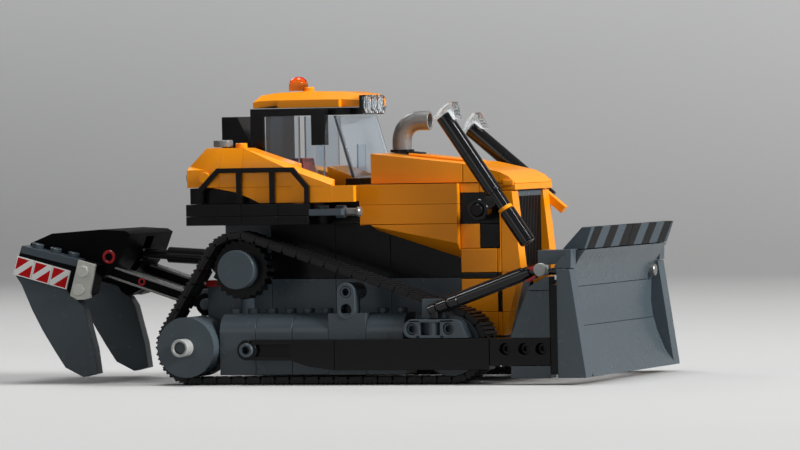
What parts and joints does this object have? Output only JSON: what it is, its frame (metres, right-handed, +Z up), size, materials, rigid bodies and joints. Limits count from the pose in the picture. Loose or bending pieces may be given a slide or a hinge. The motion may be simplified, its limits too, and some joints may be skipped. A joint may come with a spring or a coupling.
{
  "type": "toy bulldozer",
  "caption": "Brick-built toy bulldozer with raised-sprocket tracks, a blade lifted on push arms, swinging lift cylinders, a glazed cab and a rear ripper on a cylinder.",
  "frame": {"origin": "centre of the footprint box on the floor", "axes": "+X forward to the blade, +Y to the machine's left, +Z up"},
  "size_m": [0.26, 0.128, 0.1252],
  "materials": {
    "orange": "moulded plastic",
    "black": "moulded plastic",
    "dark": "moulded plastic",
    "light": "moulded plastic",
    "clear": "moulded plastic",
    "red": "moulded plastic",
    "amber": "moulded plastic"
  },
  "bodies": {
    "machine": {"chassis_frame": "dark", "rear_axle": "light", "front_axle": "dark", "sprocket_axle": "dark", "track_R": "black", "track_L": "black", "track_frame_R": "dark", "track_frame_L": "dark", "pivot_pin_R": "black", "pivot_pin_L": "black", "rear_platform": "black", "fender_R": "orange", "fender_L": "orange", "handrail_R": "black", "handrail_L": "black", "rear_deck": "black", "tank_cap": "light", "cab_frame": "black", "cab_roof": "orange", "windshield": "clear", "cab_glass_R": "clear", "cab_glass_L": "clear", "mirror_R": "black", "seat": "red", "beacon": "amber", "roof_lamps": "clear", "hood": "orange", "hood_nose": "orange", "side_panel_R": "orange", "side_panel_L": "orange", "nose_post_R": "orange", "nose_post_L": "orange", "radiator_grille": "black", "exhaust_base": "black"},
    "blade_set": {"push_arm_R": "black", "push_arm_L": "black", "brace_R": "black", "brace_L": "black", "blade": "dark", "spill_guard": "dark", "blade_end_R": "dark", "blade_end_L": "dark"},
    "lift_R": {"lift_cylinder_R": "black", "lift_lamp_R": "clear"},
    "lift_L": {"lift_cylinder_L": "black", "lift_lamp_L": "clear"},
    "drive_R": {"sprocket_R": "dark"},
    "drive_L": {"sprocket_L": "dark"},
    "rear_wheel_R": {"rear_idler_R": "dark"},
    "rear_wheel_L": {"rear_idler_L": "dark"},
    "front_wheel_R": {"front_idler_R": "dark"},
    "front_wheel_L": {"front_idler_L": "dark"},
    "ripper": {"ripper_frame": "black", "ripper_shank_R": "dark", "ripper_shank_L": "dark"},
    "ripper_barrel": {"ripper_cylinder": "black"},
    "ripper_ram": {"ripper_rod": "light"},
    "exhaust": {"exhaust_pipe": "light"}
  },
  "joints": [
    {"name": "blade_lift", "type": "hinge", "parent": "machine", "child": "blade_set", "pos_m": [-0.0167, 0, 0.0144], "axis": [0, -1, 0], "range_deg": [-0.8, 16]},
    {"name": "lift_swing_R", "type": "hinge", "parent": "machine", "child": "lift_R", "pos_m": [0.0748, -0.0315, 0.0696], "axis": [0, 1, 0], "range_deg": [-25, 12]},
    {"name": "lift_swing_L", "type": "hinge", "parent": "machine", "child": "lift_L", "pos_m": [0.0748, 0.0315, 0.0696], "axis": [0, 1, 0], "range_deg": [-9.1, 27.9]},
    {"name": "sprocket_spin_R", "type": "hinge", "parent": "machine", "child": "drive_R", "pos_m": [-0.024, -0.041, 0.0468], "axis": [0, 1, 0], "continuous": true},
    {"name": "rear_spin_R", "type": "hinge", "parent": "machine", "child": "rear_wheel_R", "pos_m": [-0.044, -0.047, 0.0155], "axis": [0, 1, 0], "continuous": true},
    {"name": "front_spin_R", "type": "hinge", "parent": "machine", "child": "front_wheel_R", "pos_m": [0.068, -0.044, 0.0155], "axis": [0, 1, 0], "continuous": true},
    {"name": "sprocket_spin_L", "type": "hinge", "parent": "machine", "child": "drive_L", "pos_m": [-0.024, 0.041, 0.0468], "axis": [0, 1, 0], "continuous": true},
    {"name": "rear_spin_L", "type": "hinge", "parent": "machine", "child": "rear_wheel_L", "pos_m": [-0.044, 0.047, 0.0155], "axis": [0, 1, 0], "continuous": true},
    {"name": "front_spin_L", "type": "hinge", "parent": "machine", "child": "front_wheel_L", "pos_m": [0.068, 0.044, 0.0155], "axis": [0, 1, 0], "continuous": true},
    {"name": "ripper_lift", "type": "hinge", "parent": "machine", "child": "ripper", "pos_m": [-0.048, 0, 0.032], "axis": [0, 1, 0], "range_deg": [-1.5, 20]},
    {"name": "ripper_barrel_swing", "type": "hinge", "parent": "machine", "child": "ripper_barrel", "pos_m": [-0.049, 0, 0.0505], "axis": [0, 1, 0], "range_deg": [-1.8, 22.5]},
    {"name": "ripper_ram_slide", "type": "slide", "parent": "ripper_barrel", "child": "ripper_ram", "axis": [-0.9977, 0, 0.0674], "range_m": [-0.0065, 0.0006]},
    {"name": "exhaust_turn", "type": "hinge", "parent": "machine", "child": "exhaust", "pos_m": [0.031, 0, 0.0953], "axis": [0, 0, 1], "range_deg": [-90, 90]}
  ],
  "couplings": [
    {"joint": "rear_spin_R", "follows": "sprocket_spin_R", "ratio": 1},
    {"joint": "front_spin_R", "follows": "sprocket_spin_R", "ratio": 1},
    {"joint": "rear_spin_L", "follows": "sprocket_spin_L", "ratio": 1},
    {"joint": "front_spin_L", "follows": "sprocket_spin_L", "ratio": 1},
    {"joint": "ripper_barrel_swing", "follows": "ripper_lift", "ratio": 1.12},
    {"joint": "ripper_ram_slide", "follows": "ripper_lift", "m_per_rad": -0.018}
  ]
}
